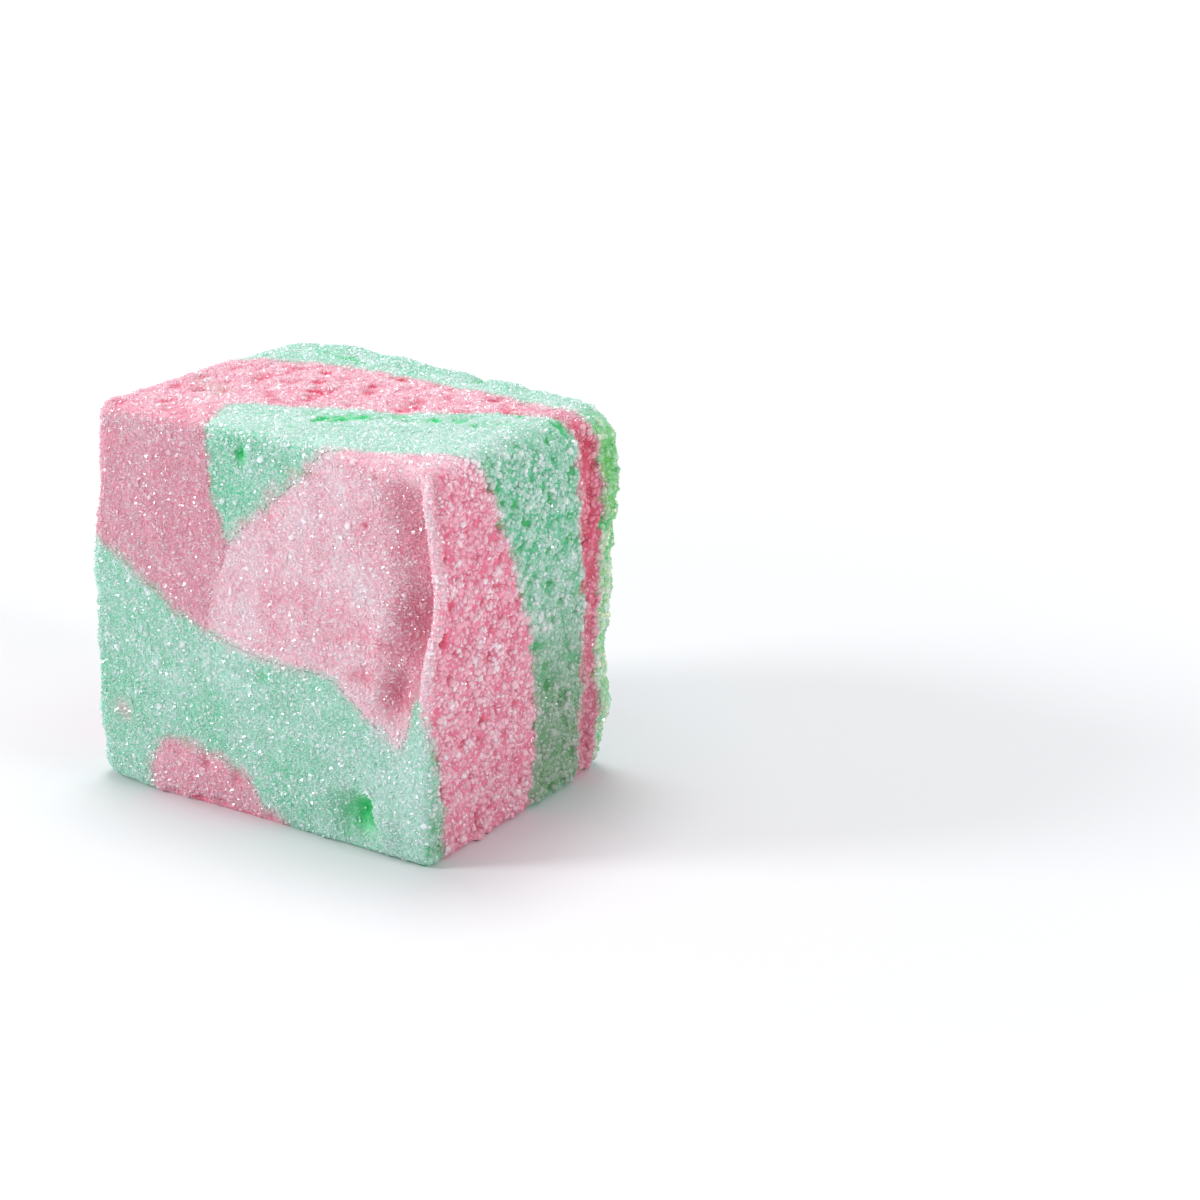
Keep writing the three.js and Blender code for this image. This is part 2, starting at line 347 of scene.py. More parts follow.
def lipOf(x, y, z):             # heights of lip, valley and crevice, along x and then round the near corner
    past = x + (y - frontY) - lip["crest"] - lip["bulge"] * (hump(z - 23.5, 4.5) - 0.4 * hump(z - 31.5, 2))
    near = ramp(-y, 6, 10)
    upper = near * ramp(z, 12.5, 16) * ramp(-z, -34, -31.5)
    crest = upper * lip["height"] * hump(past, np.where(past < 0, lip["frontWidth"], lip["rightWidth"]))
    deeper = 0.55 + 0.3 * hump(z - 29.5, 3) + 0.75 * hump(z - 21.5, 3.2)
    valley = upper * lip["valley"] * deeper * ramp(past, -lip["valleyReach"], -1.5) * ramp(-past, 0.1, 1.3)
    notch = 0.9 * near * hump(past + 3.2, 1.2) * hump(z - 14.5, 2.2)    # the valley's end, beside the spike
    crevice = upper * lip["crevice"] * (0.25 + hump(z - 19.3, 1.2)) * hump(past - 1.1, 0.6)
    return crest, valley + notch, crevice


# Height of the skin over the smooth block, how deep its pits are, and how much shade is painted in the
# front's valley before the lip, with a painted highlight (negative shade) on the lip's crest.
def reliefOf(points, outward):
    x, y, z = points.T
    face = facing(outward)
    side = relief["sideCoarseness"]
    coarse = face["right"] + side * face["left"] + side * face["back"]
    height = wavesOf(points, coarse)

    ragged = points + relief["raggedness"] * noiseVectors(points, [relief["raggedSize"]] * 3, 20)
    pits = np.zeros(len(points))
    for pitX, pitZ, across, up, depth in frontPits:
        pits += face["front"] * depth * hump(ragged[:, 0] - pitX, across) * hump(ragged[:, 2] - pitZ, up)
    topHoles = np.zeros(len(points))
    torn = 2.2 * ragged - 1.2 * points      # more ragged still
    for pitX, pitY, across, back, depth in topPits:
        topHoles += face["top"] * depth * hump(torn[:, 0] - pitX, across) * hump(torn[:, 1] - pitY, back)
    topHoles *= np.clip(0.75 + 1.2 * noiseAt(points, 0.7, 27), 0, 1.4)
    pits += topHoles

    # Small tears all over the rear pink layer's top and along the back of the middle green layer's.
    behind = y - rearPinkBorder(x + rearPinkSlant * (y - frontY), z)
    deepened = points * [1.3, 0.8, 1]
    tears = np.maximum(noiseAt(deepened, 1.8, 7) - 0.12, 0)
    tears += 0.6 * np.maximum(noiseAt(deepened, 0.8, 16) - 0.2, 0)
    onRearPink = ramp(behind, -0.1, 0.5) * ramp(backGreenBorder(x, z) - y, -0.1, 0.5)
    onGreenEdge = hump(behind + 1.8, 1.3) * ramp(x, -6, 0)
    pits += face["top"] * tears * (relief["tearsPink"] * onRearPink + relief["tearsGreen"] * onGreenEdge)

    # The ragged groove down the pink stripe of the right face.
    stripeMiddle = 0.5 * (backGreenBorder(x, z) + rearPinkBorder(x + rearPinkSlant * (y - frontY), z))
    offMiddle = y - stripeMiddle + 0.3 * noiseAt(points, 2.4, 17)
    groove = hump(offMiddle, 0.5) * np.clip(0.35 + 1.4 * noiseAt(points * [1, 1, 0.6], 1.5, 8), 0, 1.3)
    grooveDepth = mix(relief["grooveLow"], relief["grooveHigh"], ramp(z, 17, 25))
    pits += face["right"] * (grooveDepth * groove + relief["stripe"] * onRearPink)

    # Pores where crumbs were pulled out of the coarse face, and the crevice beside the lip.
    pores = np.maximum(noiseAt(points, 1.05, 9) - 0.2, 0)
    upperRight = face["right"] * ramp(z, 14, 24) * ramp(y, -10, -5)
    pits += mix(relief["pores"], relief["poresUpperRight"], upperRight) * pores * coarse
    crest, valley, crevice = lipOf(x, y, z)
    pits += crevice * np.clip(0.35 + 1.6 * noiseAt(points * [1, 1, 0.7], 1.2, 15), 0, 1.5)

    for notchX, reach, depth in backNotches:
        notch = depth * hump(x - notchX, reach) * hump(y - backY, 2.6) * ramp(z, 31, 33.5)
        height -= 0.7 * face["top"] * notch
        pits += 0.5 * face["top"] * notch

    hole = face["front"] * funnelOf(ragged[:, 0], ragged[:, 2])
    height += crest - face["front"] * valley - hole
    height += face["front"] * 0.35 * hump(x - 12.9, 1.2) * hump(z - 2.4, 2.2)   # the cheek beside the funnel
    crumbling = np.clip(0.4 + 1.5 * noiseAt(points, 1.3, 28), 0, 1.2)   # at the pink patch's foot
    height -= 0.8 * crumbling * hump(z - 0.3, 0.6) * hump(x + 5, 6) * ramp(-y, 11, 13.5)
    height += face["front"] * 0.3 * hump(x - 16.4, 1.2) * hump(z - 8, 6)        # the corner below the lip
    keepFlat = ramp(z, 0, 0.4)      # nothing moves the flat underside
    # painted shade in the valley before the lip, and a painted highlight on the lip's crest
    shadeAndHighlight = face["front"] * valley - 0.6 * crest
    deep = pits + deepHue["topHoles"] * topHoles + deepHue["funnel"] * hole
    # a deeper colour as painted shade in that valley
    deep += deepHue["valley"] * np.maximum(shadeAndHighlight, 0)
    deep += deepHue["stripe"] * face["right"] * onRearPink
    return (height - pits) * keepFlat, deep * keepFlat, shadeAndHighlight


# Faint flecks of the other colour: x, y, z, reach, and how much greener they are.
flecks = [
    (-14.5, frontY, 7.0, 0.8, -0.45), (-13.9, frontY, 6.3, 0.5, -0.2), (-14.0, -4.0, topZ, 1.2, 0.2),
    (-12.0, -5.0, topZ, 1.2, 0.25), (-10.2, -6.0, topZ, 1.0, 0.2),
]


def makeSkin():
    cells = np.round(half * 2 / block["skinStep"]).astype(int)
    cube, quads = cubeSkin(cells)
    points, outward = slump(cube)
    height, pits, shadeAndHighlight = reliefOf(points, outward)
    placed = points + outward * height[:, None]
    placed[:, 2] = np.maximum(placed[:, 2], 0)      # lumps are squashed on the floor
    skin = meshObject("skin", placed, quads)
    mesh = skin.data
    face = facing(outward)
    shares = softLayers(points)
    onBackGreen, onRearPink, onMiddleGreen, _, _, onFrontGreen = shares.T
    greenness = onBackGreen + onMiddleGreen + onFrontGreen
    for x, y, z, reach, greener in flecks:
        greenness += greener * hump(np.linalg.norm(points - (x, y, z), axis=1), reach)
    setAttribute(mesh, "onSkin", np.ones(len(points)))
    setAttribute(mesh, "pits", pits)
    setAttribute(mesh, "greenness", greenness)
    setAttribute(mesh, "leafy", 0.85 * onBackGreen * face["right"])
    x, y, z = points.T
    uneven = 1 + 0.35 * noiseAt(points, 2.6, 11) + 0.4 * noiseAt(points, 6, 26)
    dustAndShading = overFaces(dusting, face, shares) * uneven + 0.12 * noiseAt(points, 0.8, 12)
    dustAndShading -= 0.22 * face["front"] * hump(x + 3.4, 2.0) * hump(z - 30.5, 3.5)     # barer on the green triangle
    dustAndShading -= 0.12 * face["front"] * ramp(-x, 11, 17) * ramp(-z, -18, -10)        # and in the lower left corner
    dustAndShading += 0.2 * face["front"] * ramp(x, 5, 14) * ramp(-z, -16, -10)           # thicker in the lower right
    dustAndShading += 0.65 * onBackGreen * face["right"] * ramp(-z, -25, -18)
    dustAndShading += 0.3 * onMiddleGreen * face["right"] * hump(z - 18, 5)
    dustAndShading += 0.5 * face["right"] * noiseAt(points, 1.5, 2)       # paler on the coarse face's lumps
    # painted shade: less frost in the valley; painted highlight: more frost on the lip's crest
    setAttribute(mesh, "dustAndShading", dustAndShading - 0.5 * shadeAndHighlight)
    # the right face's row is painted shade: half as deep above 24 mm and 2.6 times as deep below 4 mm
    duskyAndShaded = overFaces(duskinessAndShade, face, shares) * mix(1, mix(0.5, 2.6, ramp(-z, -24, -4)), face["right"])
    # and more painted shade in the valley before the lip
    setAttribute(mesh, "duskyAndShaded", duskyAndShaded + 0.22 * np.maximum(shadeAndHighlight, 0))
    onStripe = onRearPink * face["right"]
    empty = 0.8 * ramp(pits, 0.12, 0.4) * (1 - 0.85 * onStripe)
    bare = ramp(z, 0.05, 0.35) * (1 - empty)    # little sugar in pits, none under the floor's edge
    clear = ramp(z, 0.2, 0.6)       # where even the large crystals stay above the floor
    for name, share in face.items():
        setAttribute(mesh, name, share * bare * (clear if name == "right" else 1))
    clumps = np.clip(0.4 + 2.4 * noiseAt(points, 2.2, 25), 0, 1.8)  # the clear crystals lie in clumps
    setAttribute(mesh, "crystals", mix(0.08, 1, face["right"]) * clumps * bare * clear)
    for polygon in mesh.polygons:
        polygon.use_smooth = True
    return skin


skin = makeSkin()
print("skin made,", len(skin.data.polygons), "faces")


cutting = {"reach": 3.0, "step": 0.6, "slantedStep": 0.5}


# A closed solid of all that lies in front of a border.
def inFrontOf(border, step=cutting["step"], slant=0.0):
    reachX = rightX + cutting["reach"] + slant * 2 * backY
    reachZ = topZ / 2 + cutting["reach"]
    cells = np.array([round(2 * reachX / step), 1, round(2 * reachZ / step)])
    cube, quads = cubeSkin(cells)
    along, z = cube[:, 0] * reachX, topZ / 2 + cube[:, 2] * reachZ
    y = np.where(cube[:, 1] < 0, frontY - 4 * cutting["reach"], border(along, z))
    x = along - slant * (y - frontY)
    return meshObject("cutter", np.stack([x, y, z], 1), quads)


def patchLump():
    cube, quads = cubeSkin(np.array([40, 40, 40]))
    ball = cube / np.linalg.norm(cube, axis=1)[:, None]
    p = blunt(ball, patch["bluntness"]) * patch["reach"]
    p[:, 2] *= 1 - patch["slope"] * p[:, 0]
    spread = patch["drawnOut"] * np.maximum(p[:, 0], 0) * hump(p[:, 2], patch["drawnOutHeight"])
    p[:, 0] += spread + patch["centreX"]
    p[:, 1] += frontY
    return meshObject("cutter", p, quads)


def evaluated(obj):             # the object's mesh with its modifiers applied
    graph = bpy.context.evaluated_depsgraph_get()
    return bpy.data.meshes.new_from_object(obj.evaluated_get(graph), depsgraph=graph)


def drop(*objects):
    for obj in objects:
        bpy.data.objects.remove(obj)


def cutWith(solid, cutter, operation, name):
    piece = bpy.data.objects.new(name, solid.data.copy())
    bpy.context.scene.collection.objects.link(piece)
    cut = piece.modifiers.new("cut", "BOOLEAN")
    cut.object, cut.operation, cut.solver = cutter, operation, "MANIFOLD"
    mesh = evaluated(piece)
    piece.modifiers.remove(cut)
    piece.data = mesh
    return piece


def splitAt(solid, cutter, frontName, backName):
    pieces = cutWith(solid, cutter, "INTERSECT", frontName), cutWith(solid, cutter, "DIFFERENCE", backName)
    drop(cutter)
    return pieces


allButBack, backGreen = splitAt(skin, inFrontOf(backGreenBorder), "rest", "back_green_foam")
rearCutter = inFrontOf(rearPinkBorder, cutting["slantedStep"], rearPinkSlant)
frontHalf, rearPink = splitAt(allButBack, rearCutter, "rest", "rear_pink_foam")
lobeAndFoot, middleGreen = splitAt(frontHalf, inFrontOf(middleBorder), "rest", "middle_green_foam")
frontFoot, pinkLobe = splitAt(lobeAndFoot, inFrontOf(lobeBorder), "rest", "front_pink_lobe_foam")
lowPatch, frontGreen = splitAt(frontFoot, patchLump(), "low_pink_patch_foam", "front_green_foam")
drop(allButBack, frontHalf, lobeAndFoot, frontFoot)

layers = {
    "back_green_layer": (backGreen, "green"), "rear_pink_layer": (rearPink, "pink"),
    "middle_green_layer": (middleGreen, "green"), "front_pink_lobe": (pinkLobe, "pink"),
    "front_green_layer": (frontGreen, "green"), "low_pink_patch": (lowPatch, "pink"),
}
for node, (piece, _) in layers.items():
    box = np.array(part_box(node)) / mm
    mine = pointsOf(piece.data)
    print(node, len(piece.data.polygons), "faces, off its frame box by",
          np.abs(np.array([mine.min(0), mine.max(0)]) - box).max().round(2), "mm")


class Wire:                     # a node's output: arithmetic on it adds Math nodes
    def __init__(self, shader, socket):
        self.shader, self.socket = shader, socket

    def maths(self, operation, *values):
        return self.shader.add("ShaderNodeMath", {"operation": operation}, dict(enumerate(values)))

    def __add__(self, other):
        return self.maths("ADD", self, other)

    def __radd__(self, other):
        return self.maths("ADD", other, self)

    def __sub__(self, other):
        return self.maths("SUBTRACT", self, other)

    def __rsub__(self, other):
        return self.maths("SUBTRACT", other, self)

    def __mul__(self, other):
        return self.maths("MULTIPLY", self, other)

    def __rmul__(self, other):
        return self.maths("MULTIPLY", other, self)

    def clamped(self):
        return self.shader.add("ShaderNodeClamp", {}, {"Value": self})

    def above(self, low, high):     # smooth step
        return self.shader.add("ShaderNodeMapRange", {"interpolation_type": "SMOOTHSTEP"},
                               {"Value": self, "From Min": low, "From Max": high})


class Shader:
    def __init__(self, name):
        self.material = bpy.data.materials.new(name)
        self.material.use_nodes = True
        self.tree = self.material.node_tree
        self.tree.nodes.clear()
        self.place = self.add("ShaderNodeTexCoord", {}, {}, "Object")

    def add(self, kind, settings, inputs, output=0):
        node = self.tree.nodes.new(kind)
        for key, value in settings.items():
            setattr(node, key, value)
        for key, value in inputs.items():
            if isinstance(value, Wire):
                self.tree.links.new(value.socket, node.inputs[key])
            else:
                node.inputs[key].default_value = value
        return Wire(self, node.outputs[output])

    def attribute(self, name):
        return self.add("ShaderNodeAttribute", {"attribute_name": name}, {}, "Fac")

    def noise(self, size, detail):          # size of its lumps, in mm
        return self.add("ShaderNodeTexNoise", {},
                        {"Vector": self.place, "Scale": 1 / (size * mm), "Detail": detail}, "Fac")

    def grains(self, size):
        return self.add("ShaderNodeTexVoronoi", {},
                        {"Vector": self.place, "Scale": 1 / (size * mm)}, "Distance")

    def blend(self, factor, a, b):          # mixes two colours
        return self.add("ShaderNodeMix", {"data_type": "RGBA"}, {0: factor, 6: a, 7: b}, 2)

    def surface(self, inputs):
        shader = self.add("ShaderNodeBsdfPrincipled", {}, inputs)
        output = self.tree.nodes.new("ShaderNodeOutputMaterial")
        self.tree.links.new(shader.socket, output.inputs["Surface"])
        return self.material


def srgb(*channels):            # a colour given as red, green and blue from 0 to 255
    shares = [c / 255 for c in channels]
    return tuple(((c + 0.055) / 1.055) ** 2.4 if c > 0.04045 else c / 12.92 for c in shares) + (1,)


foam = {
    "pink": srgb(240, 124, 154), "green": srgb(92, 198, 151), "leafGreen": srgb(120, 198, 94),
    "pinkPit": srgb(216, 84, 112), "greenPit": srgb(70, 204, 126),
    "pinkFrost": srgb(252, 222, 232), "greenFrost": srgb(221, 240, 240),
    # the dull pink is the layers' duller tone and also painted shade; the olive green is only painted shade
    "pinkDuskAndShade": srgb(176, 150, 162), "greenShade": srgb(122, 114, 72),
    "roughness": 0.75, "shine": 0.35, "lightReach": 0.35, "gritHeight": 0.12,   # the last two in mm
}


def makeFoam(name):
    s = Shader(name)
    green = s.attribute("greenness").clamped()
    pits = s.attribute("pits")
    leafy = s.blend(s.attribute("leafy").clamped(), foam["green"], foam["leafGreen"])
    body = s.blend(green, foam["pink"], leafy)
    deep = s.blend(green, foam["pinkPit"], foam["greenPit"])
    frosted = s.blend(green, foam["pinkFrost"], foam["greenFrost"])
    fine = s.noise(0.28, 3)
    patchy = s.noise(2.2, 2)
    frost = s.attribute("dustAndShading") + (fine - 0.5) * 1.6 + (patchy - 0.5) * 0.3
    colour = s.blend(frost.clamped(), body, frosted)
    colour = s.blend((pits * 2.2).clamped(), colour, deep)
    # painted shade, and on some layers a duller tone of their own
    duskAndShade = s.blend(green, foam["pinkDuskAndShade"], foam["greenShade"])
    colour = s.blend(s.attribute("duskyAndShaded").clamped(), colour, duskAndShade)
    grit = s.noise(0.2, 2) + s.grains(0.3) * -0.8
    bump = s.add("ShaderNodeBump", {}, {"Strength": 0.6, "Distance": foam["gritHeight"] * mm, "Height": grit})
    return s.surface({"Base Color": colour, "Roughness": foam["roughness"], "Normal": bump,
                      "Specular IOR Level": foam["shine"], "Subsurface Weight": 1.0,
                      "Subsurface Radius": (1.0, 0.6, 0.7), "Subsurface Scale": foam["lightReach"] * mm})


pinkFoam, greenFoam = makeFoam("pinkFoam"), makeFoam("greenFoam")

for node, (piece, colour) in layers.items():
    mesh = piece.data
    own = 1.0 if colour == "green" else 0.0
    onSkin = getAttribute(mesh, "onSkin") > 0.5
    setAttribute(mesh, "greenness", np.where(onSkin, getAttribute(mesh, "greenness"), own))
    mesh.materials.clear()
    mesh.materials.append(greenFoam if colour == "green" else pinkFoam)
    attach(piece, "root")
    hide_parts(node)
    colour + "_marshmallow"
print("layers finished")


def grainObject(name, points, faces, flat):
    mesh = bpy.data.meshes.new(name)
    mesh.from_pydata((np.array(points) * mm).tolist(), [], faces, shade_flat=flat)
    mesh.update()
    made = bpy.data.objects.new(name, mesh)
    bpy.context.scene.collection.objects.link(made)
    made.hide_render = True
    return made


crystal = {"radii": (0.56, 0.5, 0.46), "bluntness": 0.75, "unevenness": (0.85, 1.1), "seed": 3}


def makeCoarseGrain(name, flat):    # a sugar crystal, about 1 across: an uneven boxy ball of 20 faces
    ball = bmesh.new()
    bmesh.ops.create_icosphere(ball, subdivisions=1, radius=1)
    points = np.array([v.co[:] for v in ball.verts])
    faces = [[v.index for v in f.verts] for f in ball.faces]
    ball.free()
    uneven = np.random.default_rng(crystal["seed"]).uniform(*crystal["unevenness"], (len(points), 1))
    return grainObject(name, blunt(points, crystal["bluntness"]) * uneven * crystal["radii"], faces, flat)


def makeFineGrain():            # a crushed grain, about 1 across: an uneven double pyramid
    points = [(0, 0, 0.55), (0.5, 0.08, 0.05), (0.06, 0.52, -0.06), (-0.5, -0.05, 0.04), (-0.04, -0.5, -0.03),
              (0.05, 0, -0.55)]
    ring = [1, 2, 3, 4]
    faces = [(0, a, b) for a, b in zip(ring, ring[1:] + ring[:1])]
    return grainObject("fineGrain", points, faces + [(5, b, a) for _, a, b in faces], True)


sugarTint = {
    "pink": srgb(247, 172, 192), "green": srgb(166, 220, 199), "leafGreen": srgb(120, 206, 124),
    "pinkPit": srgb(232, 116, 142), "greenPit": srgb(104, 214, 152),
    "pinkPale": srgb(254, 232, 240), "greenPale": srgb(232, 244, 245), "leafPale": srgb(222, 236, 192),
}
sugarOptics = {"index": 1.56, "coatRoughness": 0.04, "lightReach": 0.12}       # the reach in mm


def makeSugarMaterial(name, roughness, softness, shine, gloss):
    s = Shader(name)
    green = s.attribute("greenness").clamped()
    leafy = s.attribute("leafy").clamped()
    tinted = s.blend(green, sugarTint["pink"], s.blend(leafy, sugarTint["green"], sugarTint["leafGreen"]))
    deep = s.blend(green, sugarTint["pinkPit"], sugarTint["greenPit"])
    palestGreen = s.blend(leafy, sugarTint["greenPale"], sugarTint["leafPale"])
    palest = s.blend(green, sugarTint["pinkPale"], palestGreen)
    pale = s.attribute("pale") + (s.attribute("dustAndShading") - 0.3) * 0.8 + (s.noise(2.4, 1) - 0.5) * 0.8
    colour = s.blend(pale.clamped(), tinted, palest)
    colour = s.blend((s.attribute("pits") * 2.0).clamped(), colour, deep)
    # painted shade, and on some layers a duller tone of their own
    duskAndShade = s.blend(green, foam["pinkDuskAndShade"], foam["greenShade"])
    colour = s.blend(s.attribute("duskyAndShaded").clamped(), colour, duskAndShade)
    return s.surface({"Base Color": colour, "Roughness": roughness, "Specular IOR Level": shine,
                      "IOR": sugarOptics["index"], "Coat Weight": gloss,
                      "Coat Roughness": sugarOptics["coatRoughness"], "Subsurface Weight": softness,
                      "Subsurface Radius": (1.0, 1.0, 1.0),
                      "Subsurface Scale": sugarOptics["lightReach"] * mm})


class Tree:                     # builds a Geometry Nodes tree
    def __init__(self, name):
        self.tree = bpy.data.node_groups.new(name, "GeometryNodeTree")
        self.tree.is_modifier = True
        self.named = {}
        self.input("Geometry", "NodeSocketGeometry")
        self.tree.interface.new_socket("Geometry", in_out="OUTPUT", socket_type="NodeSocketGeometry")
        self.source = self.tree.nodes.new("NodeGroupInput")
        self.target = self.tree.nodes.new("NodeGroupOutput")

    def input(self, name, kind):
        self.named[name] = self.tree.interface.new_socket(name, in_out="INPUT", socket_type=kind).identifier

    def socket(self, name):
        return next(o for o in self.source.outputs if o.identifier == self.named[name])

    def add(self, kind, settings, inputs, output=0):
        node = self.tree.nodes.new(kind)
        for key, value in settings.items():
            setattr(node, key, value)
        for key, value in inputs.items():
            if isinstance(value, bpy.types.NodeSocket):
                self.tree.links.new(value, node.inputs[key])
            else:
                node.inputs[key].default_value = value
        return node.outputs[output]

    def rare(self, seed, power):    # random from 0 to 1 for each grain, seldom near 1
        even = self.add("FunctionNodeRandomValue", {"data_type": "FLOAT"}, {2: 0.0, 3: 1.0, "Seed": seed}, 1)
        return self.add("ShaderNodeMath", {"operation": "POWER"}, {0: even, 1: power})


grainShape = {"least": (0.75, 0.75, 0.8), "most": (1.15, 1.15, 1.35)}     # how far a grain is stretched


def scatterTree():
    t = Tree("scatterSugar")
    for name, kind in (("Grain", "Object"), ("Spacing", "Float"), ("Density", "Float"), ("Where", "String"),
                       ("Smallest", "Float"), ("Largest", "Float"), ("Sink", "Float"), ("Palest", "Float"),
                       ("Pale", "Float"), ("Rareness", "Float"), ("Seed", "Int"), ("Material", "Material")):
        t.input(name, "NodeSocket" + kind)
    where = t.add("GeometryNodeInputNamedAttribute", {"data_type": "FLOAT"}, {"Name": t.socket("Where")})
    spread = t.tree.nodes.new("GeometryNodeDistributePointsOnFaces")
    spread.distribute_method = "POISSON"
    link = t.tree.links.new
    link(t.socket("Geometry"), spread.inputs["Mesh"])
    link(t.socket("Spacing"), spread.inputs["Distance Min"])
    link(t.socket("Density"), spread.inputs["Density Max"])
    link(where, spread.inputs["Density Factor"])
    link(t.socket("Seed"), spread.inputs["Seed"])
    turn = t.add("FunctionNodeRandomValue", {"data_type": "FLOAT_VECTOR"},
                 {0: (0, 0, 0), 1: (math.tau, math.tau, math.tau), "Seed": 3})
    fewLarge = t.rare(5, t.socket("Rareness"))
    size = t.add("ShaderNodeMapRange", {},
                 {"Value": fewLarge, "To Min": t.socket("Smallest"), "To Max": t.socket("Largest")})
    shape = t.add("FunctionNodeRandomValue", {"data_type": "FLOAT_VECTOR"},
                  {0: grainShape["least"], 1: grainShape["most"], "Seed": 7})
    scale = t.add("ShaderNodeVectorMath", {"operation": "SCALE"}, {0: shape, "Scale": size})
    sink = t.add("ShaderNodeMath", {"operation": "MULTIPLY"}, {0: size, 1: t.socket("Sink")})
    push = t.add("ShaderNodeVectorMath", {"operation": "SCALE"}, {0: spread.outputs["Normal"], "Scale": sink})
    placed = t.add("GeometryNodeSetPosition", {}, {"Geometry": spread.outputs["Points"], "Offset": push})
    grain = t.add("GeometryNodeObjectInfo", {}, {"Object": t.socket("Grain")}, "Geometry")
    put = t.add("GeometryNodeInstanceOnPoints", {},
                {"Points": placed, "Instance": grain, "Rotation": turn, "Scale": scale})
    fewPale = t.rare(11, 2.0)
    pale = t.add("ShaderNodeMapRange", {},
                 {"Value": fewPale, "To Min": t.socket("Pale"), "To Max": t.socket("Palest")})
    marked = t.add("GeometryNodeStoreNamedAttribute", {"data_type": "FLOAT", "domain": "INSTANCE"},
                   {"Geometry": put, "Name": "pale", "Value": pale})
    real = t.add("GeometryNodeRealizeInstances", {}, {"Geometry": marked})
    finished = t.add("GeometryNodeSetMaterial", {}, {"Geometry": real, "Material": t.socket("Material")})
    link(finished, t.target.inputs[0])
    return t


scatter = scatterTree()
fineGrain, wornGrain = makeFineGrain(), makeCoarseGrain("wornGrain", False)
clearGrain = makeCoarseGrain("clearGrain", True)
fineSugar = makeSugarMaterial("fineSugar", roughness=0.22, softness=0.6, shine=1.0, gloss=0.0)
coarseSugar = makeSugarMaterial("coarseSugar", roughness=0.1, softness=0.8, shine=0.75, gloss=0.35)
clearSugar = makeSugarMaterial("clearSugar", roughness=0.1, softness=0.8, shine=1.0, gloss=1.0)

# One piece for each kind of sugar: sizes in mm, density in grains for each square mm. The larger the
# rareness, the fewer of its grains are large.
onFront = {
    "Grain": fineGrain, "Spacing": 0.13, "Density": 30.0, "Smallest": 0.2, "Largest": 0.52, "Sink": -0.12,
    "Pale": 0.0, "Palest": 0.9, "Rareness": 3.2, "Material": fineSugar,
}
onRight = {
    "Grain": wornGrain, "Spacing": 0.38, "Density": 7.0, "Smallest": 0.42, "Largest": 1.05, "Sink": -0.25,
    "Pale": -0.15, "Palest": 0.85, "Rareness": 2.0, "Material": coarseSugar,
}
onHiddenSides = {
    **onFront, "Spacing": 0.15, "Density": 22.0, "Smallest": 0.22, "Palest": 1.0, "Rareness": 2.8,
}
sugarKinds = {
    "fine_sugar_front": {**onFront, "Where": "front", "Seed": 1},
    "fine_sugar_top": {**onFront, "Where": "top", "Seed": 2, "Pale": 0.08, "Palest": 1.0},
    "fine_sugar_left": {**onHiddenSides, "Where": "left", "Seed": 3},
    "fine_sugar_back": {**onHiddenSides, "Where": "back", "Seed": 4},
    "fine_sugar_right": {
        **onFront, "Where": "right", "Seed": 5, "Spacing": 0.26, "Density": 6.0, "Palest": 0.8,
    },
    "coarse_sugar_right": {**onRight, "Where": "right", "Seed": 6},
    "clear_crystals": {
        **onRight, "Grain": clearGrain, "Where": "crystals", "Seed": 8, "Spacing": 0.4, "Density": 4.2,
        "Smallest": 0.28, "Largest": 0.7, "Pale": 0.6, "Palest": 1.5, "Sink": -0.1, "Material": clearSugar,
    },
}


def makeSugar(name, kind):
    piece = bpy.data.objects.new(name, skin.data)
    bpy.context.scene.collection.objects.link(piece)
    modifier = piece.modifiers.new("scatter", "NODES")
    modifier.node_group = scatter.tree
    for key, value in kind.items():
        if key in ("Spacing", "Sink"):
            value *= mm
        elif key == "Density":
            value /= mm * mm
        modifier[scatter.named[key]] = value
    mesh = evaluated(piece)
    piece.modifiers.remove(modifier)
    corners = pointsOf(mesh)
    corners[:, 2] = np.maximum(corners[:, 2], 0)    # the grains at the foot lie on the floor
    mesh.vertices.foreach_set("co", (corners * mm).astype(np.float32).ravel())
    piece.data = mesh
    for spare in [a.name for a in mesh.attributes if a.name in ("onSkin", "crystals", *dusting)]:
        mesh.attributes.remove(mesh.attributes[spare])
    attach(piece, "root")
    print(name, len(mesh.polygons), "faces")


for name, kind in sugarKinds.items():
    makeSugar(name, kind)
drop(skin, fineGrain, wornGrain, clearGrain)


# The floor glows a little all round, dark under the block and whiter far behind: lengths in metres.
ground = {
    "reach": 3.0, "colour": srgb(227, 228, 231), "nearGlow": 0.07, "farGlow": 0.45,
    "nearFrom": 0.02, "nearTo": 0.04, "farFrom": 0.045, "farTo": 0.3,
}


def makeFloor():
    reach = ground["reach"] / mm
    corners = np.array([(-reach, -reach, 0), (reach, -reach, 0), (reach, reach, 0), (-reach, reach, 0)])
    floor = meshObject("floor", corners, np.array([[0, 1, 2, 3]]))
    s = Shader("paleFloor")
    away = s.add("ShaderNodeVectorMath", {"operation": "LENGTH"}, {0: s.place}, "Value")
    nearGlow, farGlow = ((ground[name],) * 3 + (1,) for name in ("nearGlow", "farGlow"))
    near = s.blend(away.above(ground["nearFrom"], ground["nearTo"]), (0, 0, 0, 1), nearGlow)
    glow = s.blend(away.above(ground["farFrom"], ground["farTo"]), near, farGlow)
    floor.data.materials.append(s.surface({"Base Color": ground["colour"], "Roughness": 0.6,
                                           "Specular IOR Level": 0.2, "Emission Color": glow,
                                           "Emission Strength": 1.0}))


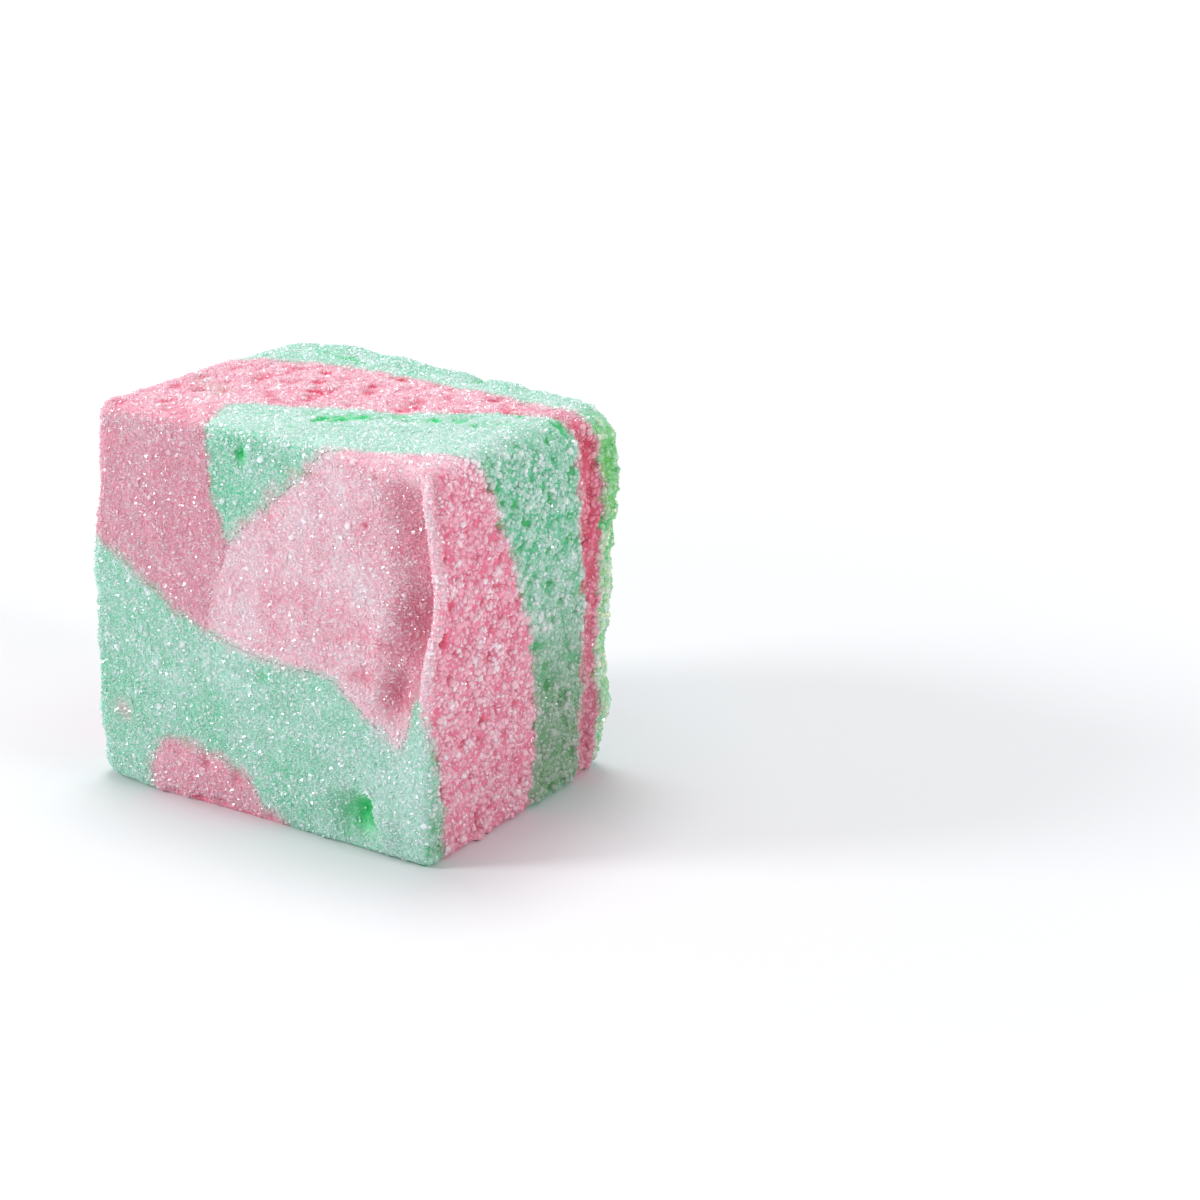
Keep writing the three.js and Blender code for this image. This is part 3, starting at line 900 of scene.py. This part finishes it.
lights = {                      # places and sizes in metres, power in watts, all aimed at the block
    "topSoftbox": {"place": (-0.12, 0.10, 0.65), "size": 0.26, "power": 1.78},
    "frontLeft": {"place": (-0.44, -0.42, 0.34), "size": 0.2, "power": 2.32},
    "rightRim": {"place": (0.60, 0.0, 0.31), "size": 0.15, "power": 1.05},
}
skyStrength = 0.52


def makeLight(name, place, size, power):
    data = bpy.data.lights.new(name, "AREA")
    data.shape, data.size, data.energy = "DISK", size, power
    light = bpy.data.objects.new(name, data)
    light.location = place
    aim = Vector((0, 0, topZ / 2 * mm)) - Vector(place)
    light.rotation_mode = "QUATERNION"
    light.rotation_quaternion = aim.to_track_quat("-Z", "Y")
    bpy.context.scene.collection.objects.link(light)


# Angles in degrees, distance and aim in mm, and a lens in mm for a sensor 36 mm wide.
view = {
    "azimuth": 29.58, "elevation": 18.97, "roll": 2.62, "distance": 270.7, "aim": (18.3, 10.0, 17.0),
    "lens": 93.8,
}


def makeCamera():
    azimuth, elevation = math.radians(view["azimuth"]), math.radians(view["elevation"])
    back = Vector((math.sin(azimuth) * math.cos(elevation), -math.cos(azimuth) * math.cos(elevation),
                   math.sin(elevation)))
    data = bpy.data.cameras.new("camera")
    data.sensor_width, data.lens, data.clip_start, data.clip_end = 36, view["lens"], 0.01, 20
    camera = bpy.data.objects.new("camera", data)
    camera.location = (Vector(view["aim"]) + back * view["distance"]) * mm
    camera.rotation_mode = "QUATERNION"
    roll = Quaternion((0, 0, 1), math.radians(view["roll"]))
    camera.rotation_quaternion = (-back).to_track_quat("-Z", "Y") @ roll
    bpy.context.scene.collection.objects.link(camera)
    bpy.context.scene.camera = camera


makeFloor()
for name, light in lights.items():
    makeLight(name, **light)
makeCamera()
world = bpy.data.worlds.new("studio")
world.use_nodes = True
world.node_tree.nodes["Background"].inputs["Color"].default_value = (1, 1, 1, 1)
world.node_tree.nodes["Background"].inputs["Strength"].default_value = skyStrength
bpy.context.scene.world = world
bpy.context.scene.view_settings.view_transform = "Standard"
print("stage set")
